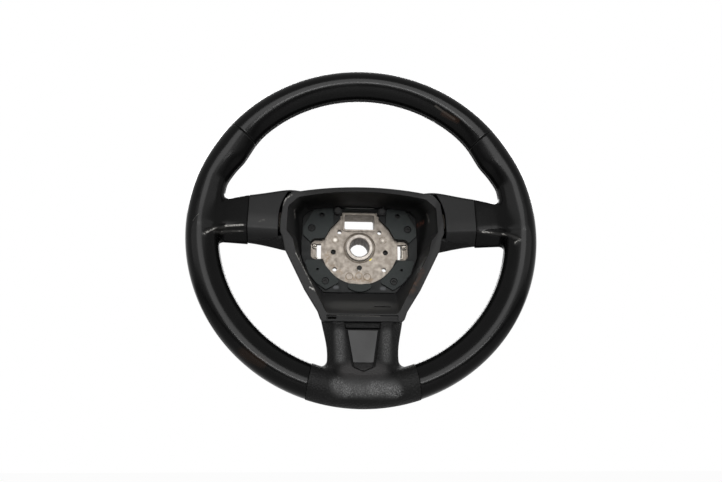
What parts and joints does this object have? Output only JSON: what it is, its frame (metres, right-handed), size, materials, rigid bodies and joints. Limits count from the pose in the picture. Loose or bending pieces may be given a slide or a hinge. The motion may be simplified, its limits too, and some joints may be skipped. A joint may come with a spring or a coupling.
{
  "type": "car steering wheel",
  "caption": "Three-spoke leather car steering wheel with its airbag removed, showing the deep hub well, cast hub plate, splined column seat and sprung airbag latches.",
  "frame": {"origin": "on the column axis, at the rear face of the splined bush", "axes": "+X to the driver's right, +Y along the column away from the driver, +Z to twelve o'clock"},
  "size_m": [0.375, 0.1199, 0.3755],
  "materials": {
    "black_leather": "worn satin grain",
    "satin_plastic": "satin soft coat",
    "grained_plastic": "fine moulded grain",
    "bowl_plastic": "satin",
    "carrier_plastic": "satin, glass filled",
    "insert_plastic": "satin paint",
    "cast_metal": "as cast",
    "bush_steel": "turned",
    "ring_steel": "mill",
    "spring_steel": "drawn wire",
    "black_screws": "black zinc",
    "buffer_rubber": "matt",
    "rim_foam": "moulded skin"
  },
  "bodies": {
    "wheel": {"rim_ring": "ring_steel", "spline_bush": "bush_steel", "hub_casting": "cast_metal", "leather_grip_top": "black_leather", "leather_grip_left": "black_leather", "leather_grip_right": "black_leather", "bottom_foam": "rim_foam", "left_spoke_cover": "satin_plastic", "right_spoke_cover": "satin_plastic", "hub_bowl": "bowl_plastic", "rear_cover": "grained_plastic", "lower_spoke_trim": "grained_plastic", "lower_trim_back": "grained_plastic", "decor_insert": "insert_plastic", "contact_carrier": "carrier_plastic", "stop_buffers": "buffer_rubber", "carrier_screws": "black_screws", "rear_cover_screws": "black_screws", "lower_trim_screws": "black_screws"},
    "right_latch": {"right_latch_spring": "spring_steel"},
    "left_latch": {"left_latch_spring": "spring_steel"}
  },
  "joints": [
    {"name": "right_latch_release", "type": "hinge", "parent": "wheel", "child": "right_latch", "pos_m": [0.0534, -0.0218, 0.00165], "axis": [0, -1, 0], "range_deg": [0, 10], "stiffness_Nm_per_rad": 0.15},
    {"name": "left_latch_release", "type": "hinge", "parent": "wheel", "child": "left_latch", "pos_m": [-0.0534, -0.0218, 0.00165], "axis": [0, 1, 0], "range_deg": [0, 10], "stiffness_Nm_per_rad": 0.15}
  ]
}
